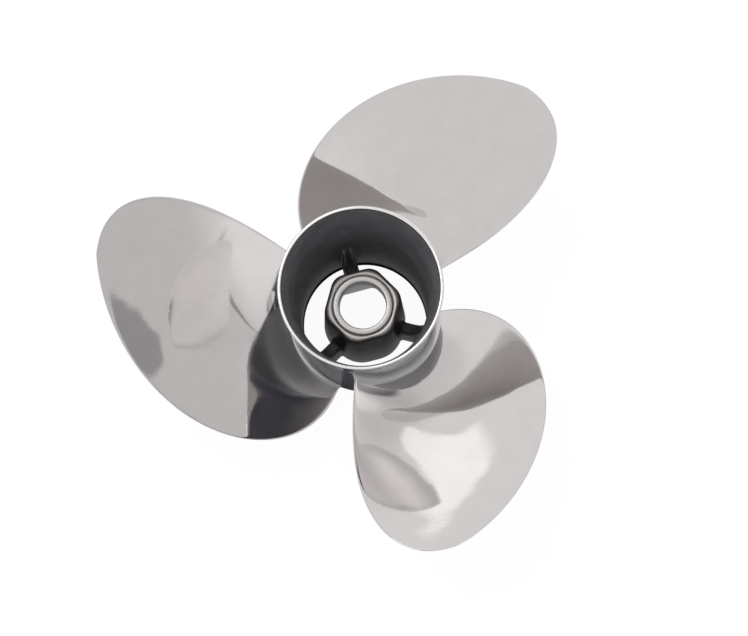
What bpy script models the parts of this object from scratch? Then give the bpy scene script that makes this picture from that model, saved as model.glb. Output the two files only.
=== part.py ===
"""Ship propeller: three blades cast in one with a hollow exhaust hub.

Metres, +Z up. The shaft axis is world Z, the front of the hub stands on the
floor at z = 0 and the flared rear end of the hub is on top.
"""
import math

import bmesh
import bpy
from mathutils import Matrix, Vector

# Driving dimensions, metres and degrees
DIAMETER = 0.34925
BLADE_COUNT = 3
SEAM = 0.0003

BARREL_LENGTH = 0.159
BARREL_FRONT_RADIUS = 0.0477
BARREL_WAIST_RADIUS = 0.0466
BARREL_BORE_RADIUS = 0.0439
FRONT_LIP_RADIUS = 0.0436
FRONT_LIP_DEPTH = 0.004
FLARE_START = 0.104
FLARE_CURVE = 1.2
FLARE_RIM_RADIUS = 0.0534
RIM_THICKNESS = 0.0024

HUB_BOTTOM = 0.0118
HUB_TOP = 0.0879
HUB_APOTHEM_BOTTOM = 0.0279
HUB_APOTHEM_TOP = 0.0240
HUB_CORNER_ROUND = 0.009
CAVITY_APOTHEM_BOTTOM = 0.0228
CAVITY_APOTHEM_TOP = 0.0200
HUB_END_WALL = 0.0118
HUB_BORE_RADIUS = 0.0158
SEAT_RADIUS = 0.0204
SEAT_DEPTH = 0.004
HEX_CORNER_ANGLE = 75.0

RIB_ANGLE = 105.0
RIB_FOOT_THICKNESS = 0.0122
RIB_CREST_THICKNESS = 0.0022
RIB_MID_HEIGHT = 0.0378
RIB_WALL_HEIGHT = 0.0779
RIB_CURVE_POINTS = 8

ROOT_REFERENCE = 0.052
ROOT_HEIGHT = 0.0654
RAKE = 0.255
RAKE_GROWTH = 2.40
RISE_PER_RADIAN = 0.0419
RISE_CENTRE_ANGLE = 60.0
ROOT_HOLLOW = 0.0061
MID_SPAN_CROWN = 0.0066
TIP_ANGLE = 51.3
TRAILING_SWEEP = 26.6
LEADING_SWEEP = 77.4
ROOT_THICKNESS = 0.0080
TIP_THICKNESS = 0.0026
EDGE_THICKNESS = 0.0012
FILLET_SWELL = 0.0050
FILLET_REACH = 0.007

BARREL_STEPS = 72
RING_STEPS = 48
SPAN_ROWS = 15
CHORD_POINTS = 15


# Scene set-up and small helpers
def clear_scene():
    for item in list(bpy.data.objects):
        bpy.data.objects.remove(item, do_unlink=True)


def collection(name):
    group = bpy.data.collections.new(name)
    bpy.context.scene.collection.children.link(group)
    return group


def material(name, colour, metallic, roughness):
    made = bpy.data.materials.new(name)
    made.use_nodes = True
    shader = made.node_tree.nodes["Principled BSDF"]
    shader.inputs["Base Color"].default_value = (*colour, 1.0)
    shader.inputs["Metallic"].default_value = metallic
    shader.inputs["Roughness"].default_value = roughness
    return made


def add_object(name, mesh, group, mat):
    item = bpy.data.objects.new(name, mesh)
    group.objects.link(item)
    if mat is not None:
        item.data.materials.append(mat)
    return item


def apply_modifiers(item):
    """Bakes the modifiers of an object into its mesh."""
    graph = bpy.context.evaluated_depsgraph_get()
    baked = bpy.data.meshes.new_from_object(item.evaluated_get(graph))
    item.modifiers.clear()
    item.data = baked
    item.data.name = item.name


def face_outwards(item):
    shell = bmesh.new()
    shell.from_mesh(item.data)
    bmesh.ops.recalc_face_normals(shell, faces=shell.faces)
    shell.to_mesh(item.data)
    shell.free()


def revolve(name, profile, steps, group, mat):
    """Spins a closed profile of (radius, height) points round the shaft axis."""
    mesh = bpy.data.meshes.new(name)
    points = [(radius, 0.0, height) for radius, height in profile]
    edges = [(i, (i + 1) % len(points)) for i in range(len(points))]
    mesh.from_pydata(points, edges, [])
    item = add_object(name, mesh, group, mat)
    screw = item.modifiers.new("Spin", "SCREW")
    screw.steps = steps
    screw.render_steps = steps
    screw.use_merge_vertices = True
    screw.merge_threshold = 0.00001
    apply_modifiers(item)
    face_outwards(item)
    return item


def cutter(mesh_maker, name, group):
    item = mesh_maker(name, group)
    item.display_type = "WIRE"
    item.hide_render = True
    return item


def subtract(item, tool):
    cut = item.modifiers.new("Cut", "BOOLEAN")
    cut.operation = "DIFFERENCE"
    cut.solver = "EXACT"
    cut.object = tool


def interpolate(a, b, share):
    return a + (b - a) * share


# Outer barrel and its flared rear end
def barrel_outer_radius(height):
    share = min(max(height / FLARE_START, 0.0), 1.0)
    return interpolate(BARREL_FRONT_RADIUS, BARREL_WAIST_RADIUS, share)


def build_barrel(group, mat):
    chamfer = 0.0008
    profile = [
        (BARREL_WAIST_RADIUS, FLARE_START),
        (barrel_outer_radius(0.070), 0.070),
        (barrel_outer_radius(0.035), 0.035),
        (BARREL_FRONT_RADIUS, chamfer),
        (BARREL_FRONT_RADIUS - chamfer, 0.0),
        (FRONT_LIP_RADIUS, 0.0),
        (FRONT_LIP_RADIUS, FRONT_LIP_DEPTH),
        (BARREL_BORE_RADIUS, FRONT_LIP_DEPTH + 0.0015),
        (BARREL_BORE_RADIUS, 0.060),
        (BARREL_BORE_RADIUS, FLARE_START),
    ]
    return revolve("outer_barrel", profile, BARREL_STEPS, group, mat)


def flare_profile():
    """Nearly a cone: it leaves the straight barrel in a short bend and opens to the rim."""
    start = FLARE_START + SEAM
    top = BARREL_LENGTH
    rim_in = FLARE_RIM_RADIUS - RIM_THICKNESS
    outer, inner = [], []
    count = 7
    for index in range(count + 1):
        share = index / count
        height = interpolate(start, top - 0.0007, share)
        opening = share ** FLARE_CURVE
        outer.append((interpolate(BARREL_WAIST_RADIUS, FLARE_RIM_RADIUS, opening), height))
        inner.append((interpolate(BARREL_BORE_RADIUS, rim_in, opening), height))
    crown = [(rim_in + 0.0005, top), (FLARE_RIM_RADIUS - 0.0006, top)]
    return list(reversed(outer)) + inner + crown


def build_flare(group, mat):
    return revolve("exhaust_flare", flare_profile(), BARREL_STEPS, group, mat)


# Inner hub: a tapered hexagonal cup with a bored end wall
def hex_taper(name, group, bottom, top, apothem_bottom, apothem_top, corner_round, mat=None):
    """Six-sided tapered block with rounded upright corners."""
    to_corner = 1.0 / math.cos(math.pi / 6.0)
    mesh = bpy.data.meshes.new(name)
    block = bmesh.new()
    bmesh.ops.create_cone(
        block, cap_ends=True, segments=6,
        radius1=apothem_bottom * to_corner,
        radius2=apothem_top * to_corner, depth=top - bottom)
    uprights = [e for e in block.edges if abs(e.verts[0].co.z - e.verts[1].co.z) > 0.001]
    bmesh.ops.bevel(
        block, geom=uprights, offset=corner_round, segments=3,
        profile=0.5, affect="EDGES", offset_type="OFFSET")
    spin = Matrix.Rotation(math.radians(HEX_CORNER_ANGLE - 90.0), 4, "Z")
    lift = Matrix.Translation(Vector((0.0, 0.0, (top + bottom) / 2.0)))
    bmesh.ops.transform(block, matrix=lift @ spin, verts=block.verts)
    block.to_mesh(mesh)
    block.free()
    return add_object(name, mesh, group, mat)


def disc(name, group, radius, bottom, top, steps=RING_STEPS):
    mesh = bpy.data.meshes.new(name)
    block = bmesh.new()
    place = Matrix.Translation(Vector((0.0, 0.0, (top + bottom) / 2.0)))
    bmesh.ops.create_cone(
        block, cap_ends=True, segments=steps, radius1=radius,
        radius2=radius, depth=top - bottom, matrix=place)
    block.to_mesh(mesh)
    block.free()
    return add_object(name, mesh, group, None)


def build_inner_hub(group, cutters, mat):
    hub = hex_taper("inner_hub", group, HUB_BOTTOM, HUB_TOP, HUB_APOTHEM_BOTTOM,
                    HUB_APOTHEM_TOP, HUB_CORNER_ROUND, mat)
    over = 0.010
    draft = (CAVITY_APOTHEM_BOTTOM - CAVITY_APOTHEM_TOP) / (HUB_TOP - HUB_END_WALL - HUB_BOTTOM)

    def cavity(name, home):
        return hex_taper(name, home, HUB_BOTTOM - over, HUB_TOP - HUB_END_WALL,
                         CAVITY_APOTHEM_BOTTOM + draft * over, CAVITY_APOTHEM_TOP, 0.006)

    def bore(name, home):
        return disc(name, home, HUB_BORE_RADIUS, HUB_BOTTOM - over, HUB_TOP + over)

    def seat_pocket(name, home):
        return disc(name, home, SEAT_RADIUS + SEAM, HUB_TOP - SEAT_DEPTH, HUB_TOP + over)

    for maker, name in ((cavity, "cut_cavity"), (bore, "cut_bore"), (seat_pocket, "cut_seat")):
        subtract(hub, cutter(maker, name, cutters))
    apply_modifiers(hub)
    return hub


def build_hub_seat(group, mat):
    chamfer = 0.0006
    low = HUB_TOP - SEAT_DEPTH + SEAM
    high = HUB_TOP + 0.0008
    profile = [
        (SEAT_RADIUS, high - chamfer),
        (SEAT_RADIUS, low),
        (HUB_BORE_RADIUS, low),
        (HUB_BORE_RADIUS, high - chamfer),
        (HUB_BORE_RADIUS + chamfer, high),
        (SEAT_RADIUS - chamfer, high),
    ]
    return revolve("hub_seat_ring", profile, RING_STEPS, group, mat)


# Ribs that carry the inner hub in the barrel
def hub_apothem(height):
    share = (height - HUB_BOTTOM) / (HUB_TOP - HUB_BOTTOM)
    return interpolate(HUB_APOTHEM_BOTTOM, HUB_APOTHEM_TOP, share)


def rib_profile():
    """Side view of a rib as (radius, height), its rear edge swept up beside the barrel wall."""
    front = HUB_BOTTOM + 0.001
    wall = BARREL_BORE_RADIUS - SEAM
    beyond = wall + 0.002
    inner_top = hub_apothem(RIB_MID_HEIGHT) + SEAM
    points = [(hub_apothem(front) + SEAM, front), (beyond, front), (beyond, RIB_WALL_HEIGHT)]
    for index in range(RIB_CURVE_POINTS):
        share = 1.0 - (index / (RIB_CURVE_POINTS - 1)) ** 1.6
        radius = interpolate(inner_top, wall, share)
        height = interpolate(RIB_MID_HEIGHT, RIB_WALL_HEIGHT, share ** 5.0)
        points.append((radius, height))
    return points


def taper_rib(item):
    """Leaves the casting draft: wide at the front edge, narrow at the top of the sweep."""
    front = HUB_BOTTOM + 0.001
    for corner in item.data.vertices:
        share = (corner.co.z - front) / (RIB_WALL_HEIGHT - front)
        thickness = interpolate(RIB_FOOT_THICKNESS, RIB_CREST_THICKNESS, share)
        corner.co.y *= thickness / RIB_FOOT_THICKNESS


def build_rib(index, group, cutters, mat):
    name = f"rib_{index + 1}"
    mesh = bpy.data.meshes.new(name)
    points = [(radius, 0.0, height) for radius, height in rib_profile()]
    mesh.from_pydata(points, [], [tuple(range(len(points)))])
    rib = add_object(name, mesh, group, mat)
    wall = rib.modifiers.new("Thickness", "SOLIDIFY")
    wall.thickness = RIB_FOOT_THICKNESS
    wall.offset = 0.0
    apply_modifiers(rib)
    taper_rib(rib)

    def bore_gauge(gauge_name, home):
        return disc(gauge_name, home, BARREL_BORE_RADIUS - SEAM, 0.0, FLARE_START, BARREL_STEPS)

    trim = rib.modifiers.new("Trim", "BOOLEAN")
    trim.operation = "INTERSECT"
    trim.solver = "EXACT"
    trim.object = cutter(bore_gauge, f"gauge_rib_{index + 1}", cutters)
    apply_modifiers(rib)
    angle = math.radians(RIB_ANGLE + index * 360.0 / BLADE_COUNT)
    rib.data.transform(Matrix.Rotation(angle, 4, "Z"))
    return rib


# Blades
def span_share(radius):
    tip = DIAMETER / 2.0
    return min(max((radius - ROOT_REFERENCE) / (tip - ROOT_REFERENCE), 0.0), 1.0)


def edge_angles(radius):
    """Angles of the trailing and leading edge at one radius, degrees."""
    share = span_share(radius)
    trailing = TIP_ANGLE - TRAILING_SWEEP * (1.0 - share ** 1.69) ** 0.38
    leading = TIP_ANGLE + LEADING_SWEEP * (1.0 - share ** 1.92) ** 0.88
    return trailing, leading


def blade_height(radius, angle):
    """Height of the rear face: raked helicoid, left-handed seen from the rear.

    Between the edges the face is hollow at the root and crowned at mid span.
    """
    out = radius - ROOT_REFERENCE
    twist = math.radians(angle - RISE_CENTRE_ANGLE)
    helicoid = ROOT_HEIGHT + RAKE * out + RAKE_GROWTH * out * out - RISE_PER_RADIAN * twist
    trailing, leading = edge_angles(radius)
    chord = min(max((angle - trailing) / max(leading - trailing, 0.001), 0.0), 1.0)
    share = span_share(radius)
    depth = ROOT_HOLLOW * (1.0 - share) ** 2 - MID_SPAN_CROWN * 4.0 * share * (1.0 - share)
    return helicoid - 4.0 * chord * (1.0 - chord) * depth


def blade_point(radius, angle):
    turn = math.radians(angle)
    return Vector((radius * math.cos(turn), radius * math.sin(turn), blade_height(radius, angle)))


def blade_normal(radius, angle):
    step_r, step_a = 0.0002, 0.05
    along = blade_point(radius + step_r, angle) - blade_point(radius - step_r, angle)
    across = blade_point(radius, angle + step_a) - blade_point(radius, angle - step_a)
    return along.cross(across).normalized()


def blade_thickness(radius, chord_share):
    share = span_share(radius)
    middle = interpolate(ROOT_THICKNESS, TIP_THICKNESS, min(share * 1.05, 1.0) ** 0.8)
    bulge = (4.0 * chord_share * (1.0 - chord_share)) ** 0.7
    swell = FILLET_SWELL * math.exp(-(radius - BARREL_FRONT_RADIUS) / FILLET_REACH)
    taper = min(1.0, 6.0 * min(chord_share, 1.0 - chord_share) + 0.25)
    return interpolate(EDGE_THICKNESS, middle, bulge) + swell * taper


def seat_on_barrel(point):
    """Moves a root point straight out or in until it is one seam off the barrel."""
    radius = barrel_outer_radius(point.z) + SEAM
    flat = Vector((point.x, point.y, 0.0)).normalized() * radius
    return Vector((flat.x, flat.y, point.z))


def blade_rows():
    """Rear-face and front-face points, row by row from the root to the tip."""
    tip = DIAMETER / 2.0
    root = BARREL_WAIST_RADIUS
    rear, front = [], []
    for row in range(SPAN_ROWS):
        share = 1.0 - (1.0 - 0.985 * row / (SPAN_ROWS - 1)) ** 1.9
        radius = interpolate(root, tip, share)
        trailing, leading = edge_angles(radius)
        rear_row, front_row = [], []
        for column in range(CHORD_POINTS):
            chord = 0.5 - 0.5 * math.cos(math.pi * column / (CHORD_POINTS - 1))
            angle = interpolate(trailing, leading, chord)
            point = blade_point(radius, angle)
            back = point - blade_normal(radius, angle) * blade_thickness(radius, chord)
            if row == 0:
                point, back = seat_on_barrel(point), seat_on_barrel(back)
            rear_row.append(point)
            front_row.append(back)
        rear.append(rear_row)
        front.append(front_row)
    return rear, front


def skin(mesh, first, second, flip):
    for column in range(len(first) - 1):
        quad = [first[column], first[column + 1], second[column + 1], second[column]]
        mesh.faces.new(list(reversed(quad)) if flip else quad)


def build_blade(index, group, mat):
    """Lofts the blade from its rows and turns it to its place on the hub."""
    name = f"blade_{index + 1}"
    rear, front = blade_rows()
    loft = bmesh.new()
    rear_verts = [[loft.verts.new(p) for p in row] for row in rear]
    front_verts = [[loft.verts.new(p) for p in row] for row in front]
    for row in range(SPAN_ROWS - 1):
        skin(loft, rear_verts[row], rear_verts[row + 1], True)
        skin(loft, front_verts[row], front_verts[row + 1], False)
        for edge in (0, -1):
            side = [rear_verts[row][edge], front_verts[row][edge],
                    front_verts[row + 1][edge], rear_verts[row + 1][edge]]
            loft.faces.new(side)
    skin(loft, rear_verts[0], front_verts[0], False)
    skin(loft, rear_verts[-1], front_verts[-1], True)
    bmesh.ops.recalc_face_normals(loft, faces=loft.faces)
    turn = Matrix.Rotation(math.radians(index * 360.0 / BLADE_COUNT), 4, "Z")
    bmesh.ops.transform(loft, matrix=turn, verts=loft.verts)
    mesh = bpy.data.meshes.new(name)
    loft.to_mesh(mesh)
    loft.free()
    return add_object(name, mesh, group, mat)


# Assembly
def main():
    clear_scene()
    parts = collection("ship_propeller")
    cutters = collection("cutters")
    bright = (0.62, 0.61, 0.59)
    build_barrel(parts, material("barrel_polished_steel", bright, 1.0, 0.22))
    build_flare(parts, material("flare_polished_steel", (0.66, 0.65, 0.63), 1.0, 0.20))
    build_inner_hub(parts, cutters, material("hub_dark_paint", (0.03, 0.03, 0.032), 0.0, 0.5))
    build_hub_seat(parts, material("seat_turned_steel", (0.70, 0.69, 0.67), 1.0, 0.3))
    for index in range(BLADE_COUNT):
        dark = material(f"rib_{index + 1}_dark_paint", (0.05, 0.05, 0.052), 0.0, 0.55)
        build_rib(index, parts, cutters, dark)
        shine = material(f"blade_{index + 1}_polished_steel", bright, 1.0, 0.18)
        build_blade(index, parts, shine)


main()
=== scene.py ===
# %% [markdown]
# # A three-blade boat propeller
#
# The real thing is one stainless casting, polished until the room shows in it,
# with a dark painted inside where the exhaust runs. This lesson rebuilds it
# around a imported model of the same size: the finishes first, then blades,
# barrel, inner hub and ribs, and last the floor, the light and the camera.

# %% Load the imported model
import math

import bmesh
import bpy
from mathutils import Matrix, Vector


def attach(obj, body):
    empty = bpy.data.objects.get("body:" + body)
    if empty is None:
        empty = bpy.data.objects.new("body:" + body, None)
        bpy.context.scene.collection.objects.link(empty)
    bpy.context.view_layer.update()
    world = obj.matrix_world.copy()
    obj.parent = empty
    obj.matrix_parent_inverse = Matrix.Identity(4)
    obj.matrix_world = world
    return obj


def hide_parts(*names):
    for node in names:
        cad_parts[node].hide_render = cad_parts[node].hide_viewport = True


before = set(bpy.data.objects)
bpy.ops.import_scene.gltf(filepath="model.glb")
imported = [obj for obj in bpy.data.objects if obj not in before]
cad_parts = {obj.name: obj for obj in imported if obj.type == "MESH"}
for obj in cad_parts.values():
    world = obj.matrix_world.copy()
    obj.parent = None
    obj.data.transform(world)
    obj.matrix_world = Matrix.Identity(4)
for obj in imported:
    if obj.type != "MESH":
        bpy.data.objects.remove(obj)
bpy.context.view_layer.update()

# %% [markdown]
# ## Sizes
#
# Every length is in metres. The shaft axis is world Z, the hub stands on its
# front end at z = 0, and its flared rear end is on top. The blade numbers
# describe a screw surface: a height that falls steadily with the angle and
# climbs outwards, faster towards the tip. Between its edges the face is a
# little hollow near the hub and a little crowned half way out. The bends and
# roundings are powers that draw the two edges of the blade's outline.

# %% Sizes of the hub and of the blade rule
TIP_RADIUS = 0.174625
HUB_LENGTH = 0.159
BLADE_COUNT = 3

WALL_FRONT = 0.0477
WALL_WAIST = 0.0466
WALL_BORE = 0.0439
LIP_RADIUS = 0.0436
FLARE_START = 0.104
FLARE_CURVE = 1.2
RIM_RADIUS = 0.0534
RIM_THICKNESS = 0.0024

BLADE_RULE = {
    "Tip Radius": TIP_RADIUS,
    "Outline Start": 0.052,
    "Root Radius": 0.0457,
    "Wall Radius": 0.0469,
    "Root Height": 0.0654,
    "Rake": 0.255,
    "Rake Growth": 2.40,
    "Rise per Radian": 0.0419,
    "Root Hollow": 0.0061,
    "Mid Crown": 0.0066,
    "Tip Angle": math.radians(51.3),
    "Rise Centre": math.radians(60.0),
    "Trailing Sweep": math.radians(26.6),
    "Trailing Bend": 1.69,
    "Trailing Rounding": 0.38,
    "Leading Sweep": math.radians(77.4),
    "Leading Bend": 1.92,
    "Leading Rounding": 0.88,
    "Root Thickness": 0.0080,
    "Tip Thickness": 0.0026,
    "Edge Thickness": 0.0013,
    "Root Fillet": 0.0060,
}
print("blade circle:", round(TIP_RADIUS * 2000.0, 2), "mm")

# %% [markdown]
# ## Small helpers
#
# A finished piece is a plain mesh whose object stays at the origin. These
# helpers bake modifiers into the mesh, merge doubled points and turn every face
# outwards, which spun and lofted shapes need before they are shaded.

# %% Helpers for numbers and objects
MERGE_DISTANCE = 0.000001


def mix(a, b, share):
    return a + (b - a) * share


def steps(start, end, count):
    """`count` equal steps from `start` to `end`, with both ends."""
    return [mix(start, end, index / count) for index in range(count + 1)]


def new_piece(name, mesh, material=None):
    item = bpy.data.objects.new(name, mesh)
    bpy.context.scene.collection.objects.link(item)
    if material is not None:
        mesh.materials.clear()
        mesh.materials.append(material)
    return item


def bake(item):
    """Replaces the object's mesh by what its modifiers make of it."""
    graph = bpy.context.evaluated_depsgraph_get()
    graph.update()
    baked = bpy.data.meshes.new_from_object(item.evaluated_get(graph), depsgraph=graph)
    item.modifiers.clear()
    item.data = baked
    baked.name = item.name
    return item

# %% Helpers for closed shells
def tidy_shell(item):
    shell = bmesh.new()
    shell.from_mesh(item.data)
    bmesh.ops.remove_doubles(shell, verts=shell.verts, dist=MERGE_DISTANCE)
    bmesh.ops.dissolve_degenerate(shell, edges=shell.edges, dist=MERGE_DISTANCE)
    bmesh.ops.recalc_face_normals(shell, faces=shell.faces)
    if shell.calc_volume(signed=True) < 0.0:
        bmesh.ops.reverse_faces(shell, faces=shell.faces)
    for face in shell.faces:
        face.smooth = True
    open_edges = sum(1 for edge in shell.edges if not edge.is_manifold)
    volume = shell.calc_volume()
    shell.to_mesh(item.data)
    shell.free()
    print(item.name, len(item.data.polygons), "faces,", open_edges, "open edges,",
          round(volume * 1e6, 1), "cm3")
    return item


def loft(name, rings, close_ring_stack=True):
    """Skins a stack of point rings of equal length, as a torus when it closes on itself."""
    mesh = bpy.data.meshes.new(name)
    shell = bmesh.new()
    rows = [[shell.verts.new(point) for point in ring] for ring in rings]
    count = len(rows[0])
    pairs = len(rows) if close_ring_stack else len(rows) - 1
    for row in range(pairs):
        low, high = rows[row], rows[(row + 1) % len(rows)]
        for index in range(count):
            after = (index + 1) % count
            shell.faces.new((low[index], low[after], high[after], high[index]))
    shell.to_mesh(mesh)
    shell.free()
    return mesh

# %% [markdown]
# ## Node helpers
#
# A material is a sum written with nodes, and most of its lines only say which
# value goes into which socket. With one helper that makes a node and fills its
# sockets, each line below reads like a formula. An effect that several
# finishes share becomes a shader group with named inputs, built once.

# %% Helpers for nodes
def add_node(tree, kind, **settings):
    made = tree.nodes.new(kind)
    for name, value in settings.items():
        setattr(made, name, value)
    return made


def plug(tree, source, target):
    tree.links.new(source, target)


def feed(tree, value, target):
    """Links a socket to the target, or writes a plain value into it."""
    if isinstance(value, bpy.types.NodeSocket):
        plug(tree, value, target)
    else:
        target.default_value = value


def wired(tree, kind, output, inputs, **settings):
    """A new node with its inputs fed; gives back the output with this name."""
    made = add_node(tree, kind, **settings)
    for key, value in inputs.items():
        feed(tree, value, made.inputs[key])
    return made.outputs[output]


def math_node(tree, operation, *values):
    return wired(tree, "ShaderNodeMath", 0, dict(enumerate(values)), operation=operation)


def blend(tree, kind, a, b, share):
    """Mixes two colours (kind RGBA) or two numbers (kind FLOAT)."""
    return wired(tree, "ShaderNodeMix", "Result", {"A": a, "B": b, "Factor": share}, data_type=kind)


def ease(tree, value, start, end, **ends):
    """Climbs softly from 0 to 1 while the value goes from `start` to `end`."""
    sockets = {"Value": value, "From Min": start, "From Max": end}
    return wired(tree, "ShaderNodeMapRange", "Result", {**sockets, **ends},
                 interpolation_type="SMOOTHSTEP")

# %% Helpers for shader groups
def group_socket(tree, name, direction, kind, default=None):
    made = tree.interface.new_socket(name=name, in_out=direction, socket_type=kind)
    if default is not None:
        made.default_value = default
    return made


def new_group(name, inputs, outputs):
    """Starts a shader group: its tree, the sockets it is given and those it fills."""
    tree = bpy.data.node_groups.new(name, "ShaderNodeTree")
    for label, kind, default in inputs:
        group_socket(tree, label, "INPUT", "NodeSocket" + kind, default)
    for label, kind in outputs:
        group_socket(tree, label, "OUTPUT", "NodeSocket" + kind)
    given = add_node(tree, "NodeGroupInput").outputs
    filled = add_node(tree, "NodeGroupOutput").inputs
    return tree, given, filled


def use_group(tree, group, values):
    """Places a shader group in a material and sets its named inputs."""
    made = add_node(tree, "ShaderNodeGroup", node_tree=group)
    for name, value in values.items():
        feed(tree, value, made.inputs[name])
    return made.outputs


def new_material(name):
    made = bpy.data.materials.new(name)
    made.use_nodes = True
    return made, made.node_tree, made.node_tree.nodes["Principled BSDF"]


def cover(tree, shader, colour, roughness, height, strength, distance):
    """Feeds a finish into the shader; the relief's `distance` is in metres."""
    relief = wired(tree, "ShaderNodeBump", "Normal",
                   {"Strength": strength, "Distance": distance, "Height": height})
    for name, value in (("Base Color", colour), ("Roughness", roughness), ("Normal", relief)):
        feed(tree, value, shader.inputs[name])

# %% [markdown]
# ## Where a point lies round the shaft
#
# The lathe leaves rings round the shaft, and the polishing wheel stops where
# blade and barrel crowd it. Both effects ask how far a point is from the axis
# or how high it lies, so one small group measures this from Object
# coordinates, which stay fixed to the piece.

# %% Shader group: place round the shaft
def shaft_place_group():
    tree, _, filled = new_group("shaft place", [], [("Radius", "Float"), ("Height", "Float")])
    split = add_node(tree, "ShaderNodeSeparateXYZ")
    plug(tree, add_node(tree, "ShaderNodeTexCoord").outputs["Object"], split.inputs[0])
    squares = [math_node(tree, "MULTIPLY", split.outputs[side], split.outputs[side])
               for side in ("X", "Y")]
    plug(tree, math_node(tree, "SQRT", math_node(tree, "ADD", *squares)), filled["Radius"])
    plug(tree, split.outputs["Z"], filled["Height"])
    return tree


SHAFT_PLACE = shaft_place_group()
print("shader group:", SHAFT_PLACE.name)

# %% [markdown]
# ## Polished steel
#
# Polished steel has almost no colour of its own: what shows is the room. Two
# things keep it from looking like computer chrome. The polishing wheel leaves
# hair-fine marks that spread each highlight, and the cast surface under the
# polish is never quite flat, so long reflections waver. Where the wheel can't
# reach, low on the barrel and deep in the blade roots, the cast skin stays
# rough; its darker colour there is painted shade for the corner between blades
# and barrel. A flat grey metal would lack all of this, and a painted picture
# would not follow the light, so the finish is made from noise.

# %% Shader group: polished skin
# The dull colour is painted shade for the corners between blades and barrel; the dull roughness is
# the unpolished skin.
DULL_SKIN_PAINTED_SHADE = (0.360, 0.360, 0.382, 1.0)
DULL_ROUGHNESS = 0.36
CLOUD_SCALE = 75.0
CLOUD_TONES = (0.93, 1.05)
MARK_LIMITS = (0.3, 0.7)
MARK_SPREAD = (0.8, 1.25)
MARK_DEPTH = 0.012


def polished_skin_group():
    """Polished steel that fades to a rough skin darkened by painted shade where `Measure` falls below
    `Bright From`.
    """
    tree, given, filled = new_group(
        "polished skin",
        [("Colour", "Color", (0.65, 0.65, 0.65, 1.0)), ("Roughness", "Float", 0.05),
         ("Stretch", "Vector", (900.0, 900.0, 40.0)), ("Wave Scale", "Float", 22.0),
         ("Measure", "Float", 1.0), ("Dull Shaded Until", "Float", 0.0), ("Bright From", "Float", 0.1)],
        [("Colour", "Color"), ("Roughness", "Float"), ("Height", "Float")])
    spot = add_node(tree, "ShaderNodeTexCoord").outputs["Object"]
    scaled = wired(tree, "ShaderNodeVectorMath", "Vector", {0: spot, 1: given["Stretch"]},
                   operation="MULTIPLY")
    marks = wired(tree, "ShaderNodeTexNoise", "Fac", {"Vector": scaled, "Scale": 1.0, "Detail": 3.0})
    waves = wired(tree, "ShaderNodeTexNoise", "Fac",
                  {"Vector": spot, "Scale": given["Wave Scale"], "Detail": 2.0, "Roughness": 0.45})
    cloud = wired(tree, "ShaderNodeTexNoise", "Fac",
                  {"Vector": spot, "Scale": CLOUD_SCALE, "Detail": 5.0})
    polished_and_unshaded = ease(tree, given["Measure"], given["Dull Shaded Until"], given["Bright From"])

    tone = blend(tree, "FLOAT", *CLOUD_TONES, cloud)
    bright = wired(tree, "ShaderNodeVectorMath", "Vector", {0: given["Colour"], "Scale": tone},
                   operation="SCALE")
    spread = wired(tree, "ShaderNodeMapRange", "Result",
                   {"Value": marks, "From Min": MARK_LIMITS[0], "From Max": MARK_LIMITS[1],
                    "To Min": MARK_SPREAD[0], "To Max": MARK_SPREAD[1]})
    polish = math_node(tree, "MULTIPLY", spread, given["Roughness"])
    fine = math_node(tree, "MULTIPLY", marks, MARK_DEPTH)
    plug(tree, blend(tree, "RGBA", DULL_SKIN_PAINTED_SHADE, bright, polished_and_unshaded), filled["Colour"])
    plug(tree, blend(tree, "FLOAT", DULL_ROUGHNESS, polish, polished_and_unshaded), filled["Roughness"])
    plug(tree, math_node(tree, "ADD", waves, fine), filled["Height"])
    return tree


POLISHED_SKIN = polished_skin_group()
print("shader group:", POLISHED_SKIN.name)

# %% Finish: polished steel of the blades and of the barrel
def polished_steel(name, colour, roughness, stretch, wave_scale, bump, dull_shade_side, dull_shade_range):
    """The measure named by the side argument limits the wheel and places the painted shade: Radius
    for blades, Height for walls.
    """
    made, tree, shader = new_material(name)
    place = use_group(tree, SHAFT_PLACE, {})
    skin = use_group(tree, POLISHED_SKIN, {
        "Colour": (*colour, 1.0), "Roughness": roughness, "Stretch": stretch,
        "Wave Scale": wave_scale, "Measure": place[dull_shade_side],
        "Dull Shaded Until": dull_shade_range[0], "Bright From": dull_shade_range[1]})
    shader.inputs["Metallic"].default_value = 1.0
    cover(tree, shader, skin["Colour"], skin["Roughness"], skin["Height"], 1.0, bump)
    return made


# Near the blade roots and low on the barrel the skin turns rougher and darker: the roughness is
# unpolished casting, the darker colour painted shade.
blade_steel = polished_steel(
    "blade polish", colour=(0.660, 0.636, 0.630), roughness=0.036, stretch=(700.0, 700.0, 700.0),
    wave_scale=16.0, bump=0.0004, dull_shade_side="Radius", dull_shade_range=(0.0480, 0.0545))
wall_steel = polished_steel(
    "barrel polish", colour=(0.800, 0.780, 0.775), roughness=0.16, stretch=(900.0, 900.0, 60.0),
    wave_scale=20.0, bump=0.00008, dull_shade_side="Height", dull_shade_range=(0.076, 0.110))
print("finishes:", blade_steel.name, wall_steel.name)

# %% [markdown]
# ## Dark paint inside the hub
#
# The inside is left as cast and painted. Noise gives the grain of the mould and
# paler and darker blotches. Below a set height the paint darkens towards the
# front end, painted shade with some of the exhaust's sooty stain. The lip at the
# front end gets a near-black paint with no gloss at all: painted deep shade.

# %% Shader group: paint over a rough casting
BLOTCH_SCALE = 60.0
BLOTCH_TONES = (0.6, 1.5)
GRAIN_SPREAD = 0.08
# The paint darkens towards near black below the top height: painted shade, with some sooty stain.
SOOT_AND_SHADE_TONE = 0.02
SOOT_AND_SHADE_FULL = 0.25
SOOT_AND_SHADE_MARGIN = 0.0001


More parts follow.
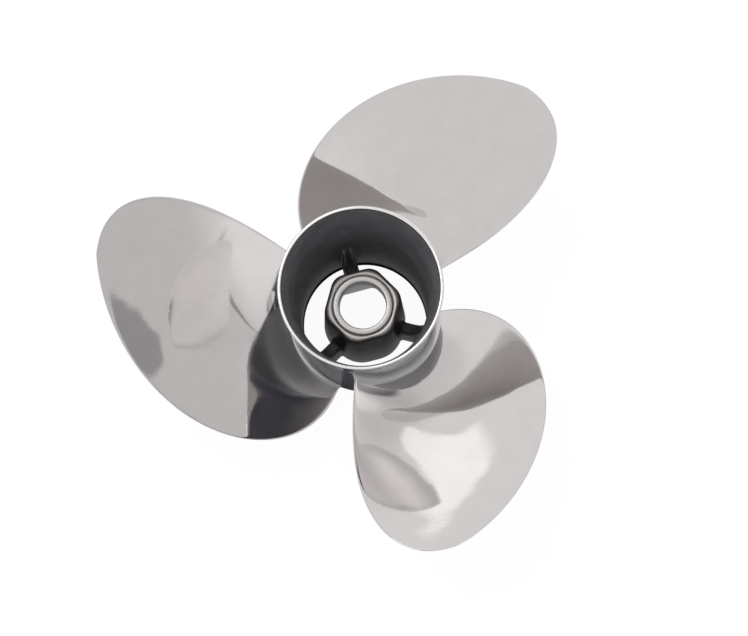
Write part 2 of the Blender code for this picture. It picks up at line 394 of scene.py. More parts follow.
def cast_paint_group():
    """Blotched paint on a grainy casting, darkened below the top height by painted shade and some
    sooty stain.
    """
    tree, given, filled = new_group(
        "cast paint",
        [("Colour", "Color", (0.1, 0.1, 0.1, 1.0)), ("Roughness", "Float", 0.5),
         ("Grain", "Float", 700.0), ("Soot And Shade Top", "Float", 0.0)],
        [("Colour", "Color"), ("Roughness", "Float"), ("Height", "Float")])
    spot = add_node(tree, "ShaderNodeTexCoord").outputs["Object"]
    grain = wired(tree, "ShaderNodeTexNoise", "Fac",
                  {"Vector": spot, "Scale": given["Grain"], "Detail": 6.0})
    blotch = wired(tree, "ShaderNodeTexNoise", "Fac", {"Vector": spot, "Scale": BLOTCH_SCALE})
    soot_and_shade = ease(tree, wired(tree, "ShaderNodeSeparateXYZ", "Z", {0: spot}),
                math_node(tree, "MULTIPLY", given["Soot And Shade Top"], SOOT_AND_SHADE_FULL),
                math_node(tree, "ADD", given["Soot And Shade Top"], SOOT_AND_SHADE_MARGIN), **{"To Min": SOOT_AND_SHADE_TONE})
    tone = math_node(tree, "MULTIPLY", blend(tree, "FLOAT", *BLOTCH_TONES, blotch), soot_and_shade)
    colour = wired(tree, "ShaderNodeVectorMath", "Vector", {0: given["Colour"], "Scale": tone},
                   operation="SCALE")
    smooth = math_node(tree, "SUBTRACT", given["Roughness"], GRAIN_SPREAD)
    coarse = math_node(tree, "ADD", given["Roughness"], GRAIN_SPREAD)
    plug(tree, colour, filled["Colour"])
    plug(tree, blend(tree, "FLOAT", smooth, coarse, grain), filled["Roughness"])
    plug(tree, grain, filled["Height"])
    return tree


CAST_PAINT = cast_paint_group()
print("shader group:", CAST_PAINT.name)

# %% Finish: four dark paints
GRAIN_STRENGTH = 0.6


def cast_paint(name, colour, roughness, grain, bump, soot_and_shade_top=0.0, gloss=0.5):
    made, tree, shader = new_material(name)
    paint = use_group(tree, CAST_PAINT, {"Colour": (*colour, 1.0), "Roughness": roughness,
                                         "Grain": grain, "Soot And Shade Top": soot_and_shade_top})
    cover(tree, shader, paint["Colour"], paint["Roughness"], paint["Height"], GRAIN_STRENGTH, bump)
    shader.inputs["Specular IOR Level"].default_value = gloss
    return made


hub_paint = cast_paint("hub paint", (0.060, 0.057, 0.059), 0.42, 900.0, 0.0003)
rib_paint = cast_paint("rib paint", (0.150, 0.142, 0.138), 0.45, 500.0, 0.0005)
# The near-black lip paint is painted shade for the deep shadow at the front edge.
lip_shade = cast_paint("lip shade", (0.004, 0.004, 0.004), 0.85, 700.0, 0.0002, gloss=0.0)
# The exhaust paint darkens below 20 mm as painted shade with some sooty stain.
bore_paint = cast_paint("exhaust paint", (0.125, 0.123, 0.134), 0.60, 700.0, 0.0003,
                        soot_and_shade_top=0.020, gloss=0.2)
print("finishes:", hub_paint.name, rib_paint.name, lip_shade.name, bore_paint.name)

# %% [markdown]
# ## Turned steel
#
# The end of the inner hub is machined, so it is bare metal with the rings of
# the lathe tool. A sine of the distance from the shaft draws them as a relief
# far too fine to see singly: they only soften the gloss in one direction.

# %% Shader group and finish: turned steel
TOOL_PITCH = 0.00022
RING_STRENGTH = 0.25
RING_DEPTH = 0.00001


def lathe_rings_group():
    tree, given, filled = new_group(
        "lathe rings", [("Radius", "Float", 0.02), ("Pitch", "Float", TOOL_PITCH)],
        [("Height", "Float")])
    turns = math_node(tree, "DIVIDE", given["Radius"], given["Pitch"])
    wave = math_node(tree, "SINE", math_node(tree, "MULTIPLY", turns, 2.0 * math.pi))
    plug(tree, wave, filled["Height"])
    return tree


LATHE_RINGS = lathe_rings_group()


def turned_steel(name, colour, roughness):
    """Fine rings left by the lathe tool round the shaft axis."""
    made, tree, shader = new_material(name)
    place = use_group(tree, SHAFT_PLACE, {})
    rings = use_group(tree, LATHE_RINGS, {"Radius": place["Radius"]})
    shader.inputs["Metallic"].default_value = 1.0
    cover(tree, shader, (*colour, 1.0), roughness, rings["Height"], RING_STRENGTH, RING_DEPTH)
    return made


seat_steel = turned_steel("turned seat", (0.40, 0.388, 0.380), 0.34)
bevel_steel = turned_steel("turned bevel", (0.46, 0.43, 0.415), 0.42)
cavity_steel = turned_steel("broached cavity", (0.42, 0.41, 0.40), 0.50)
print("finishes:", seat_steel.name, bevel_steel.name, cavity_steel.name)

# %% [markdown]
# ## Blades
#
# A propeller blade follows a rule: each point of its rear face is set by a
# radius and an angle, so Geometry Nodes can compute it. The tree takes a flat
# grid, reads one side of it as the way from root to tip and the other as the
# way once round the blade's section, and moves each point to its place.
# Changing one input, such as the rake, reshapes the whole blade.

# %% Short calls for long sums
class Formula:
    """Writes sums of Geometry Nodes sockets and numbers as short calls."""

    def __init__(self, tree):
        self.tree = tree

    def do(self, operation, *values):
        return math_node(self.tree, operation, *values)

    def add(self, *values):
        total = values[0]
        for value in values[1:]:
            total = self.do("ADD", total, value)
        return total

    def mul(self, *values):
        total = values[0]
        for value in values[1:]:
            total = self.do("MULTIPLY", total, value)
        return total

    def sub(self, a, b):
        return self.do("SUBTRACT", a, b)

    def div(self, a, b):
        return self.do("DIVIDE", a, b)

    def power(self, a, b):
        return self.do("POWER", a, b)

    def mix(self, a, b, share):
        return self.add(a, self.mul(self.sub(b, a), share))

    def clamp(self, a):
        return self.do("MINIMUM", self.do("MAXIMUM", a, 0.0), 1.0)

# %% Geometry Nodes: a screw blade
ROOT_CROWDING = 1.7
TIP_CROWDING = 2.6
THINNING = 0.8
SECTION_FULLNESS = 1.4
EDGE_ROUNDING = 9.0
CAP_SHARE = 0.0001
WELD_DISTANCE = 0.000003


def blade_tree(rows, section_points):
    tree = bpy.data.node_groups.new("screw blade", "GeometryNodeTree")
    for name, value in BLADE_RULE.items():
        group_socket(tree, name, "INPUT", "NodeSocketFloat", value)
    group_socket(tree, "Turn", "INPUT", "NodeSocketFloat", 0.0)
    group_socket(tree, "Material", "INPUT", "NodeSocketMaterial")
    group_socket(tree, "Geometry", "OUTPUT", "NodeSocketGeometry")
    given = tree.nodes.new("NodeGroupInput").outputs
    f = Formula(tree)

    grid = tree.nodes.new("GeometryNodeMeshGrid")
    grid.inputs["Vertices X"].default_value = rows
    grid.inputs["Vertices Y"].default_value = section_points
    spot = tree.nodes.new("GeometryNodeInputPosition")
    split = tree.nodes.new("ShaderNodeSeparateXYZ")
    plug(tree, spot.outputs[0], split.inputs[0])
    along = f.clamp(f.add(split.outputs["X"], 0.5))
    around = f.mul(f.add(split.outputs["Y"], 0.5), 2.0 * math.pi)

    # Radius: rows crowd together in the root fillet and at the rounded tip
    from_root = f.clamp(f.sub(1.0, f.power(along, ROOT_CROWDING)))
    crowd = f.sub(1.0, f.power(from_root, TIP_CROWDING))
    radius = f.mix(given["Root Radius"], given["Tip Radius"], crowd)
    beyond = f.sub(radius, given["Outline Start"])
    span = f.sub(given["Tip Radius"], given["Outline Start"])
    share = f.clamp(f.div(beyond, span))

    # Outline: angles of the trailing and the leading edge
    trail_bend = f.clamp(f.sub(1.0, f.power(share, given["Trailing Bend"])))
    lead_bend = f.clamp(f.sub(1.0, f.power(share, given["Leading Bend"])))
    trail_curve = f.power(trail_bend, given["Trailing Rounding"])
    lead_curve = f.power(lead_bend, given["Leading Rounding"])
    trailing = f.sub(given["Tip Angle"], f.mul(given["Trailing Sweep"], trail_curve))
    leading = f.add(given["Tip Angle"], f.mul(given["Leading Sweep"], lead_curve))
    cosine = f.do("COSINE", around)
    sine = f.do("SINE", around)
    chord = f.mul(f.sub(1.0, cosine), 0.5)
    angle = f.mix(trailing, leading, chord)

    # Height of the rear face
    rake = f.mul(given["Rake"], beyond)
    sweep_up = f.mul(given["Rake Growth"], beyond, beyond)
    fall = f.mul(given["Rise per Radian"], f.sub(angle, given["Rise Centre"]))
    inner_share = f.sub(1.0, share)
    hollow = f.mul(given["Root Hollow"], inner_share, inner_share)
    crown = f.mul(given["Mid Crown"], f.mul(share, inner_share), 4.0)
    dip = f.mul(f.sub(hollow, crown), sine, sine)
    height = f.sub(f.sub(f.add(given["Root Height"], rake, sweep_up), fall), dip)

    # Section directions on the cylinder: up off the rear face, and along the chord
    slope = f.div(given["Rise per Radian"], radius)
    length = f.do("SQRT", f.add(1.0, f.mul(slope, slope)))
    up_turn, up_rise = f.div(slope, length), f.div(1.0, length)

    # Thickness: full in the middle of the chord, thin and rounded at both edges
    middle = f.mix(given["Root Thickness"], given["Tip Thickness"], f.power(share, THINNING))
    bulge = f.power(f.do("ABSOLUTE", sine), SECTION_FULLNESS)
    thick = f.mix(given["Edge Thickness"], middle, bulge)
    side = f.do("TANH", f.mul(sine, EDGE_ROUNDING))
    solid = f.do("GREATER_THAN", along, CAP_SHARE)
    half = f.mul(thick, 0.5)
    off_face = f.sub(f.mul(half, side), half)

    # Root fillet: a quarter circle that runs out of the barrel wall
    gap = f.do("MAXIMUM", f.sub(radius, given["Wall Radius"]), 0.0)
    inward = f.do("MAXIMUM", f.sub(given["Root Fillet"], gap), 0.0)
    arc = f.sub(f.mul(given["Root Fillet"], given["Root Fillet"]), f.mul(inward, inward))
    fillet = f.sub(given["Root Fillet"], f.do("SQRT", f.do("MAXIMUM", arc, 0.0)))
    normal_shift = f.mul(f.add(off_face, f.mul(fillet, sine)), solid)
    chord_shift = f.mul(fillet, cosine, -1.0)

    turn_shift = f.add(f.mul(normal_shift, up_turn), f.mul(chord_shift, up_rise))
    rise_shift = f.sub(f.mul(normal_shift, up_rise), f.mul(chord_shift, up_turn))
    final_angle = f.add(angle, f.div(turn_shift, radius), given["Turn"])
    place = wired(tree, "ShaderNodeCombineXYZ", 0, {
        "X": f.mul(radius, f.do("COSINE", final_angle)),
        "Y": f.mul(radius, f.do("SINE", final_angle)),
        "Z": f.add(height, rise_shift)})

    moved = wired(tree, "GeometryNodeSetPosition", 0,
                  {"Geometry": grid.outputs["Mesh"], "Position": place})
    welded = wired(tree, "GeometryNodeMergeByDistance", 0, {0: moved, "Distance": WELD_DISTANCE})
    smooth = wired(tree, "GeometryNodeSetShadeSmooth", 0, {0: welded})
    real = wired(tree, "GeometryNodeRealizeInstances", 0, {0: smooth})
    finished = wired(tree, "GeometryNodeSetMaterial", 0,
                     {"Geometry": real, "Material": given["Material"]})
    plug(tree, finished, tree.nodes.new("NodeGroupOutput").inputs["Geometry"])
    return tree


SCREW_BLADE = blade_tree(rows=110, section_points=121)
print("geometry tree:", len(SCREW_BLADE.nodes), "nodes")

# %% Three blades from one tree
def socket_id(tree, name):
    return next(item.identifier for item in tree.interface.items_tree
                if item.name == name and item.in_out == "INPUT")


def make_blade(index):
    blade = new_piece(f"polished_blade_{index + 1}", bpy.data.meshes.new("blade grid"))
    nodes = blade.modifiers.new("Screw blade", "NODES")
    nodes.node_group = SCREW_BLADE
    nodes[socket_id(SCREW_BLADE, "Turn")] = math.radians(index * 360.0 / BLADE_COUNT)
    nodes[socket_id(SCREW_BLADE, "Material")] = blade_steel
    bake(blade)
    tidy_shell(blade)
    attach(blade, "root")
    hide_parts(f"blade_{index + 1}")
    return blade


blades = [make_blade(index) for index in range(BLADE_COUNT)]

# %% [markdown]
# ## Barrel and flare
#
# The hub's outer wall is a turned shape, so half of its cut-through outline is
# drawn once and spun round the shaft by a Screw modifier. The rear end opens
# into a short cone, which keeps water from being drawn back into the exhaust.

# %% The walls of the barrel
FOOT_ROUND = 0.0010
FOOT_TOP = 0.0012
INNER_START = 0.009
WALL_STEPS = 40
RIM_SHOULDER = 1.4
FOOT_ARC = (0.0, -90.0)
CROWN_ARC = (165.0, 15.0)


def arc_points(centre, radius, start, end, count):
    """Points of an arc in the radius-height plane, angles in degrees."""
    return [(centre[0] + radius * math.cos(math.radians(angle)),
             centre[1] + radius * math.sin(math.radians(angle)))
            for angle in steps(start, end, count - 1)]


def flare_opening(height):
    share = min(max((height - FLARE_START) / (HUB_LENGTH - FLARE_START), 0.0), 1.0)
    return share ** FLARE_CURVE


def outer_wall(height):
    straight = mix(WALL_FRONT, WALL_WAIST, min(height / FLARE_START, 1.0))
    return mix(straight, RIM_RADIUS, flare_opening(height))


def inner_wall(height):
    return mix(WALL_BORE, RIM_RADIUS - RIM_THICKNESS, flare_opening(height))


def barrel_outline():
    """Once round the wall's section: down the outside, up the inside, over the rim."""
    rim_round = RIM_THICKNESS * 0.5
    rim_centre = (RIM_RADIUS - rim_round, HUB_LENGTH - rim_round)
    top = HUB_LENGTH - rim_round * RIM_SHOULDER
    outer = [(outer_wall(height), height) for height in steps(top, FOOT_TOP, WALL_STEPS)]
    foot = arc_points((WALL_FRONT - FOOT_ROUND, FOOT_ROUND), FOOT_ROUND, *FOOT_ARC, 5)
    lip = [(LIP_RADIUS + 0.0005, 0.0), (LIP_RADIUS, 0.0005), (LIP_RADIUS, 0.0036),
           (LIP_RADIUS + 0.0002, 0.0046), (WALL_BORE, 0.0060)]
    inner = [(inner_wall(height), height) for height in steps(INNER_START, top, WALL_STEPS)]
    crown = arc_points(rim_centre, rim_round, *CROWN_ARC, 9)
    return outer + foot + lip + inner + crown

# %% The barrel, spun from its outline
PAINT_MARGIN = 0.0004
BARE_RIM = 0.0016
LIP_SHADE_TOP = 0.0085


def spin(name, outline, turns, material):
    mesh = bpy.data.meshes.new(name)
    points = [(radius, 0.0, height) for radius, height in outline]
    mesh.from_pydata(points, [(i, (i + 1) % len(points)) for i in range(len(points))], [])
    item = new_piece(name, mesh)
    screw = item.modifiers.new("Spin", "SCREW")
    screw.steps = turns
    screw.render_steps = turns
    screw.use_merge_vertices = True
    screw.merge_threshold = MERGE_DISTANCE
    bake(item)
    item.data.materials.clear()
    item.data.materials.append(material)
    return tidy_shell(item)


barrel = spin("hub_barrel", barrel_outline(), 240, wall_steel)
barrel.data.materials.append(bore_paint)
barrel.data.materials.append(lip_shade)
# Inside faces take the exhaust paint, and those at the front lip the near-black lip paint, which is
# painted shade.
for face in barrel.data.polygons:
    middle = face.center
    inside = math.hypot(middle.x, middle.y) < inner_wall(middle.z) + PAINT_MARGIN
    if inside and middle.z < HUB_LENGTH - BARE_RIM:
        face.material_index = 1 if middle.z > LIP_SHADE_TOP else 2
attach(barrel, "root")
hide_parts("outer_barrel", "exhaust_flare")

# %% [markdown]
# ## Inner hub
#
# The drive bushing sits in a six-sided cup, so the cup can't slip round it. A
# ring of points with rounded corners is stacked from the front edge up the
# outside, over the machined end, and down through the bore and the cavity. A
# corner radius equal to the flat's distance turns the same ring into a circle,
# so one function draws both.

# %% A hexagon with rounded corners
HUB_TURN = math.radians(45.0)
SIXTH = math.pi / 3.0


def hexagon_ring(height, apothem, corner, points=144):
    """Ring of points: flats at `apothem` from the axis, corners rounded by `corner`."""
    ring = []
    corner = min(corner, apothem)
    centre = Vector((apothem - corner, (apothem - corner) * math.tan(SIXTH / 2.0)))
    for index in range(points):
        turn = 2.0 * math.pi * index / points
        local = (turn - HUB_TURN + SIXTH / 2.0) % SIXTH - SIXTH / 2.0
        ray = Vector((math.cos(local), abs(math.sin(local))))
        if ray.y * apothem <= centre.y * ray.x:
            radius = apothem / ray.x
        else:
            reach = centre.dot(ray)
            inner = reach * reach - centre.length_squared + corner * corner
            radius = reach + math.sqrt(max(inner, 0.0))
        ring.append((radius * math.cos(turn), radius * math.sin(turn), height))
    return ring

# %% Sizes of the inner hub
HUB_BOTTOM, HUB_TOP = 0.0118, 0.0879
HUB_AP_BOTTOM, HUB_AP_TOP = 0.0279, 0.0240
CAVITY_AP_BOTTOM, CAVITY_AP_TOP = 0.0228, 0.0200
END_WALL = 0.0118
BORE_RADIUS = 0.0158
SEAT_RADIUS = 0.0204
FLANK_CORNERS = (0.021, 0.0105)
FLANK_START = 0.0015
BEVEL_DEPTH = 0.0050
CAVITY_CORNER = 0.006
CAVITY_EDGE = 0.0012
CAVITY_REACH = 0.004
CAVITY_MARGIN = 0.001
BORE_MARGIN = 0.0011
ROUND = 0.03

# Over the machined end, from the bevel to the cavity's roof. Each row has the
# depth below the top, the flats' distance from the axis and the corner radius.
END_PROFILE = [
    (0.0036, HUB_AP_TOP + 0.0002, 0.0108), (0.0022, HUB_AP_TOP, 0.0112),
    (0.0012, HUB_AP_TOP - 0.0004, 0.0122), (0.0006, HUB_AP_TOP - 0.0010, 0.0140),
    (0.0003, 0.0222, 0.0170), (0.0, SEAT_RADIUS + 0.0005, ROUND),
    (0.0004, SEAT_RADIUS + 0.0003, ROUND), (0.0006, SEAT_RADIUS - 0.0004, ROUND),
    (0.0006, BORE_RADIUS + 0.0008, ROUND), (0.0010, BORE_RADIUS + 0.0003, ROUND),
    (END_WALL - 0.0006, BORE_RADIUS, ROUND), (END_WALL, BORE_RADIUS + 0.0006, ROUND),
    (END_WALL, CAVITY_AP_TOP - CAVITY_EDGE, 0.0065),
    (END_WALL + CAVITY_EDGE, CAVITY_AP_TOP, CAVITY_CORNER)]
print("end profile:", len(END_PROFILE), "rings, bore", round(BORE_RADIUS * 2000.0, 1), "mm")

# %% The inner hub as a stack of rings
def hub_apothem(height):
    share = (height - HUB_BOTTOM) / (HUB_TOP - HUB_BOTTOM)
    return mix(HUB_AP_BOTTOM, HUB_AP_TOP, share)


def hub_rings():
    rings = []
    for share in steps(0.0, 1.0, 14):
        height = mix(HUB_BOTTOM + FLANK_START, HUB_TOP - BEVEL_DEPTH, share)
        rings.append((height, hub_apothem(height), mix(*FLANK_CORNERS, share)))
    rings += [(HUB_TOP - depth, apothem, corner) for depth, apothem, corner in END_PROFILE]
    for share in steps(0.0, 1.0, 8)[1:]:
        height = mix(HUB_TOP - END_WALL - CAVITY_EDGE, HUB_BOTTOM + CAVITY_EDGE, share)
        rings.append((height, mix(CAVITY_AP_TOP, CAVITY_AP_BOTTOM, share), CAVITY_CORNER))
    rings += [(HUB_BOTTOM, CAVITY_AP_BOTTOM + 0.0010, 0.0070),
              (HUB_BOTTOM, HUB_AP_BOTTOM - 0.0012, 0.0205)]
    return rings


hub_mesh = loft("hexagonal_inner_hub", [hexagon_ring(*ring) for ring in hub_rings()])
inner_hub = new_piece("hexagonal_inner_hub", hub_mesh, hub_paint)
tidy_shell(inner_hub)
inner_hub.data.materials.append(bevel_steel)
inner_hub.data.materials.append(cavity_steel)
for face in inner_hub.data.polygons:
    middle = face.center
    near = math.hypot(middle.x, middle.y) < CAVITY_AP_BOTTOM + CAVITY_REACH
    faces_axis = face.normal.dot(Vector((middle.x, middle.y, 0.0))) < 0.0
    bare = HUB_BOTTOM + CAVITY_MARGIN < middle.z < HUB_TOP - BORE_MARGIN
    if near and faces_axis and bare:
        face.material_index = 2
    elif middle.z > HUB_TOP - BEVEL_DEPTH:
        face.material_index = 1
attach(inner_hub, "root")
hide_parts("inner_hub")

# %% The turned seat ring
SEAT_PROUD = 0.0008
SEAT_DEPTH = 0.002
seat_top = HUB_TOP + SEAT_PROUD
seat_foot = HUB_TOP - SEAT_DEPTH
seat_outline = [(SEAT_RADIUS - 0.0003, seat_top - 0.0005), (SEAT_RADIUS - 0.0003, seat_foot),
                (BORE_RADIUS + 0.0001, seat_foot), (BORE_RADIUS + 0.0001, seat_top - 0.0005),
                (BORE_RADIUS + 0.0003, seat_top - 0.0001), (BORE_RADIUS + 0.0007, seat_top),
                (SEAT_RADIUS - 0.0009, seat_top), (SEAT_RADIUS - 0.0005, seat_top - 0.0001)]
seat = spin("turned_seat_ring", seat_outline, 180, seat_steel)
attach(seat, "root")
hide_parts("hub_seat_ring")

# %% [markdown]
# ## Ribs
#
# Three ribs hold the inner hub. Each is lofted from the hub to the barrel
# through rounded sections that swell at both ends, the way molten metal fills
# the corners of a mould. It is a wedge, thick at its foot and thin at its
# crest, so that it draws out of the mould, and its crest sweeps up the wall.

# %% A section of a rib
RIB_FOOT = 0.0130
RIB_MID_HEIGHT = 0.0378
RIB_WALL_HEIGHT = 0.0779
RIB_FOOT_THICKNESS = 0.0124
RIB_CREST_THICKNESS = 0.0026
RIB_SWEEP = 5.0
HUB_FILLET, WALL_FILLET = 0.0030, 0.0022
END_SQUARENESS, SIDE_SQUARENESS = 0.55, 0.30
RIB_OVERLAP = 0.0006


def fillet_swell(distance, size):
    """How far a corner fillet stands out at this distance from the corner."""
    inward = max(size - max(distance, 0.0), 0.0)
    return size - math.sqrt(max(size * size - inward * inward, 0.0))


def rib_section(share, points=64):
    """Ring of points at this share of the way from the hub to the barrel."""
    ring = []
    high = mix(RIB_MID_HEIGHT, RIB_WALL_HEIGHT, share ** RIB_SWEEP)
    length = WALL_BORE - hub_apothem(RIB_MID_HEIGHT)
    grow = (fillet_swell(share * length, HUB_FILLET)
            + fillet_swell((1.0 - share) * length, WALL_FILLET))
    for index in range(points):
        turn = 2.0 * math.pi * index / points
        side, end = math.cos(turn), math.sin(turn)
        rise = 0.5 + 0.5 * math.copysign(abs(end) ** END_SQUARENESS, end)
        z = mix(RIB_FOOT, high, rise)
        draft = (z - RIB_FOOT) / (RIB_WALL_HEIGHT - RIB_FOOT)
        half = mix(RIB_FOOT_THICKNESS, RIB_CREST_THICKNESS, draft) / 2.0 + grow
        y = half * math.copysign(abs(side) ** SIDE_SQUARENESS, side)
        z += grow * end
        inner_end = hub_apothem(z) - RIB_OVERLAP
        outer_end = math.sqrt(max((WALL_BORE + RIB_OVERLAP) ** 2 - y * y, 0.0))
        ring.append((mix(inner_end, outer_end, share), y, z))
    return ring

# %% Three ribs
RIB_COUNT = 3
RIB_BEARING = 105.0
RIB_ROWS = 44
ROW_LEAN = 0.8


def make_rib(index):
    rings = []
    for row in range(RIB_ROWS + 1):
        share = 0.5 - 0.5 * math.cos(math.pi * row / RIB_ROWS)
        rings.append(rib_section(share ** ROW_LEAN))
    mesh = loft(f"cast_rib_{index + 1}", rings, close_ring_stack=False)
    rib = new_piece(f"cast_rib_{index + 1}", mesh, rib_paint)
    shell = bmesh.new()
    shell.from_mesh(mesh)
    bmesh.ops.holes_fill(shell, edges=shell.edges, sides=0)
    shell.to_mesh(mesh)
    shell.free()
    bearing = math.radians(RIB_BEARING + 360.0 / RIB_COUNT * index)
    mesh.transform(Matrix.Rotation(bearing, 4, "Z"))
    tidy_shell(rib)
    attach(rib, "root")
    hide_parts(f"rib_{index + 1}")
    return rib


ribs = [make_rib(index) for index in range(RIB_COUNT)]

# %% [markdown]
# ## Floor
#
# Seen by the camera, the floor is plain and nearly white. The polished blades
# and the barrel mirror it too, and there a white floor would wash them out,
# so for mirrored rays it is a softer grey with two dark pools: a wide one
# in front of the propeller, and a small one near its foot that is a painted
# shadow. A Light Path node tells the two kinds of ray apart. A faint glow
# under the hub lights the bore.

# %% The floor
FLOOR_SIZE = 3.0
FLOOR_DROP = 0.0002
FAR_POOL = ((0.0, -0.42, 0.0), 0.27, 0.36)
# The near pool is a painted shadow at the propeller's foot, seen only in reflections.
NEAR_PAINTED_SHADOW = ((-0.01, -0.075, 0.0), 0.055, 0.085)
POOL_TONE = (0.115, 0.117, 0.140, 1.0)
MIRRORED_TONE = (0.60, 0.59, 0.575, 1.0)
SEEN_TONE = (0.06, 0.06, 0.06, 1.0)
SEEN_GLOW = 0.95
HUB_GLOW = 0.50
HUB_GLOW_RADIUS = 0.043

half = FLOOR_SIZE / 2.0
mesh = bpy.data.meshes.new("floor")
mesh.from_pydata([(-half, -half, 0), (half, -half, 0), (half, half, 0), (-half, half, 0)], [],
                 [(0, 1, 2, 3)])
floor = new_piece("floor", mesh)
floor.location.z = -FLOOR_DROP
floor_paper, paper_tree, shader = new_material("white paper")
paper_tree.nodes.remove(shader)
spot = add_node(paper_tree, "ShaderNodeTexCoord").outputs["Object"]
is_seen = add_node(paper_tree, "ShaderNodeLightPath").outputs["Is Camera Ray"]


def outside_pool(centre, inner, outer):
    away = wired(paper_tree, "ShaderNodeVectorMath", "Value", {0: spot, 1: centre},
                 operation="DISTANCE")
    return ease(paper_tree, away, inner, outer)


pools = math_node(paper_tree, "MULTIPLY", outside_pool(*FAR_POOL), outside_pool(*NEAR_PAINTED_SHADOW))
mirrored = blend(paper_tree, "RGBA", POOL_TONE, MIRRORED_TONE, pools)
tone = blend(paper_tree, "RGBA", mirrored, SEEN_TONE, is_seen)
from_axis = wired(paper_tree, "ShaderNodeVectorMath", "Value", {0: spot}, operation="LENGTH")
under_hub = math_node(paper_tree, "LESS_THAN", from_axis, HUB_GLOW_RADIUS)
glow = math_node(paper_tree, "MAXIMUM", math_node(paper_tree, "MULTIPLY", under_hub, HUB_GLOW),
                 math_node(paper_tree, "MULTIPLY", is_seen, SEEN_GLOW))
paper = wired(paper_tree, "ShaderNodeBsdfDiffuse", 0, {"Color": tone})
shine = wired(paper_tree, "ShaderNodeEmission", 0, {"Strength": glow})
surface = wired(paper_tree, "ShaderNodeAddShader", 0, {0: paper, 1: shine})
plug(paper_tree, surface, paper_tree.nodes["Material Output"].inputs["Surface"])
floor.data.materials.append(floor_paper)
print("floor:", FLOOR_SIZE, "m wide")

# %% [markdown]
# ## Studio dome
#
# Polished metal is lit by what stands round it. A wide pale dome gives the
# broad grey reflections. Photographers set white and black cards round such a
# piece, and here each card is a patch of the dome: white ones act as lamps,
# and black ones draw the dark wedges, the fine line and the small grey patch
# that the blades mirror. Drawn by direction, they cost no geometry.

# %% A card in the dome
world = bpy.data.worlds.new("studio dome")
bpy.context.scene.world = world
world.use_nodes = True
dome = world.node_tree
dome.nodes.clear()
direction = add_node(dome, "ShaderNodeTexCoord").outputs["Generated"]


def along_direction(axis):
    return wired(dome, "ShaderNodeVectorMath", "Value", {0: direction, 1: axis},
                 operation="DOT_PRODUCT")


def card(azimuth, elevation, tilt, half_long, half_short, soft, strength, corner=2.0):
    """A patch of the dome in degrees: `tilt` turns it off the level, `corner` 2 is an oval,
    8 almost a rectangle. A negative strength makes a dark card."""
    a, e, turn = (math.radians(angle) for angle in (azimuth, elevation, tilt))
    aim = Vector((math.cos(e) * math.cos(a), math.cos(e) * math.sin(a), math.sin(e)))
    east = Vector((-math.sin(a), math.cos(a), 0.0))
    north = aim.cross(east)
    long_axis = (east * math.cos(turn) + north * math.sin(turn)) / math.sin(math.radians(half_long))
    short_axis = (north * math.cos(turn) - east * math.sin(turn)) / math.sin(math.radians(half_short))
    across = [math_node(dome, "POWER", math_node(dome, "ABSOLUTE", along_direction(axis)), corner)
              for axis in (long_axis, short_axis)]
    reach = math_node(dome, "POWER", math_node(dome, "ADD", *across), 1.0 / corner)
    fade = ease(dome, reach, 1.0 + soft, 1.0 - soft, **{"To Max": strength})
    facing = math_node(dome, "GREATER_THAN", along_direction(aim), 0.0)
    return math_node(dome, "MULTIPLY", fade, facing)

# %% The dome with its cards
DOME_LEVEL = 0.87
DARKEST = 0.06
CARDS = {
    "strip lamp": (84.5, 15.5, 0.0, 12.5, 1.7, 0.15, 0.38, 6.0),
    "glow round the lamp": (102.0, 17.0, 0.0, 30.0, 14.0, 0.5, 0.08),
    "pale high board": (-90.0, 34.0, 0.0, 38.0, 20.0, 0.4, 0.16),
    "grey high board": (-14.0, 30.0, -35.0, 30.0, 16.0, 0.3, -0.16),
    "pale low board": (-4.0, 13.0, 0.0, 30.0, 9.0, 0.4, 0.10),
    "grey low board": (54.0, 11.0, 0.0, 24.0, 13.0, 0.4, -0.15),
    "low lamp": (24.0, 11.0, 0.0, 24.0, 6.0, 0.4, 0.25),
    "dark rod": (-40.0, 31.0, -41.0, 15.0, 0.8, 0.4, -0.4),
    "grey skirting": (85.0, 3.0, 0.0, 45.0, 6.0, 0.4, -0.12),
    "dark skirting": (28.0, -5.0, 0.0, 34.0, 8.0, 0.12, -0.45, 5.0),
    "dark flap": (-18.3, 36.4, -41.0, 6.8, 2.2, 0.05, -0.31),
    "black board": (-69.5, 0.0, 0.0, 30.5, 18.6, 0.05, -0.85, 6.0),
}
brightness = DOME_LEVEL
for patch in CARDS.values():
    brightness = math_node(dome, "ADD", brightness, card(*patch))
brightness = math_node(dome, "MAXIMUM", brightness, DARKEST)
WHITE = (1.0, 1.0, 1.0, 1.0)
studio = wired(dome, "ShaderNodeBackground", 0, {"Color": WHITE, "Strength": brightness})
backdrop = wired(dome, "ShaderNodeBackground", 0, {"Color": WHITE})
is_seen = add_node(dome, "ShaderNodeLightPath").outputs["Is Camera Ray"]
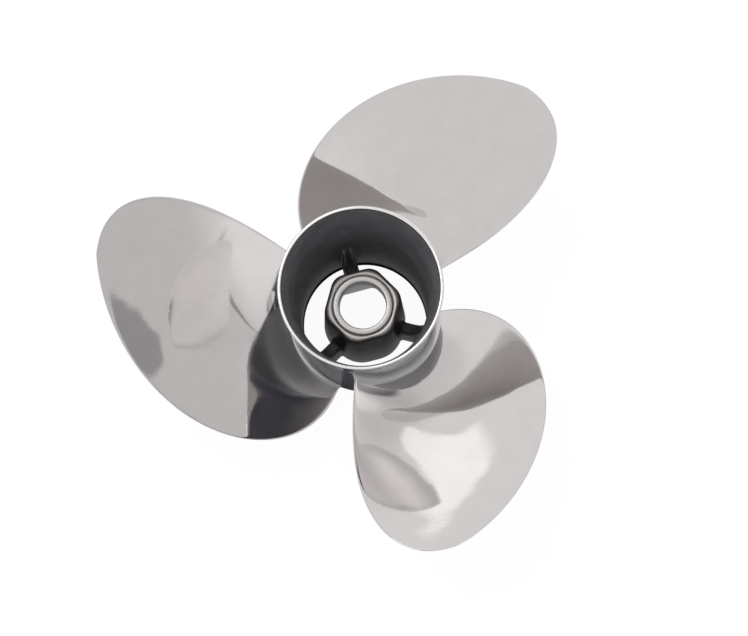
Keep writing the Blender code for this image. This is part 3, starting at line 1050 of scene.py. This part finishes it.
sky = wired(dome, "ShaderNodeMixShader", 0, {0: is_seen, 1: studio, 2: backdrop})
plug(dome, sky, add_node(dome, "ShaderNodeOutputWorld").inputs["Surface"])
print("dome:", len(CARDS), "cards")

# %% [markdown]
# ## Overhead light and camera
#
# A large disk lamp adds the soft light from above that shapes the dull skin
# and the paint, which mirror too little of the dome. The camera looks almost
# down the shaft with a long lens. Its two angles set which parts of the bore
# and of the barrel show, and its small shift sets the propeller off centre.

# %% An overhead soft light
LAMP_WIDTH = 0.9
LAMP_POWER = 6.0
LAMP_PLACE = (-0.5, 0.5, 1.6)
LAMP_TARGET = (0.0, 0.0, 0.05)

overhead = bpy.data.lights.new("overhead", "AREA")
overhead.shape = "DISK"
overhead.size = LAMP_WIDTH
overhead.energy = LAMP_POWER
lamp = bpy.data.objects.new("overhead", overhead)
lamp.location = LAMP_PLACE
lamp_aim = Vector(LAMP_TARGET) - lamp.location
lamp.rotation_euler = lamp_aim.to_track_quat("-Z", "Y").to_euler()
bpy.context.scene.collection.objects.link(lamp)
print("overhead lamp:", overhead.energy, "W")

# %% The camera
PITCH, YAW = -0.158, -0.016
SHIFT_X, SHIFT_Y, DISTANCE = -0.00616, -0.00528, 1.5240
FOCAL_PIXELS, FRAME_WIDTH = 2138.0, 748
SENSOR_WIDTH = 36.0
facing = Matrix.Rotation(PITCH, 3, "X") @ Matrix.Rotation(YAW, 3, "Y")
camera_data = bpy.data.cameras.new("camera")
camera_data.sensor_width = SENSOR_WIDTH
camera_data.lens = SENSOR_WIDTH * FOCAL_PIXELS / FRAME_WIDTH
camera = bpy.data.objects.new("camera", camera_data)
stand = facing.transposed() @ Vector((-SHIFT_X, -SHIFT_Y, DISTANCE))
camera.matrix_world = Matrix.Translation(stand) @ facing.transposed().to_4x4()
bpy.context.scene.collection.objects.link(camera)
bpy.context.scene.camera = camera
bpy.context.scene.view_settings.view_transform = "Standard"
print("camera at", [round(v, 3) for v in stand])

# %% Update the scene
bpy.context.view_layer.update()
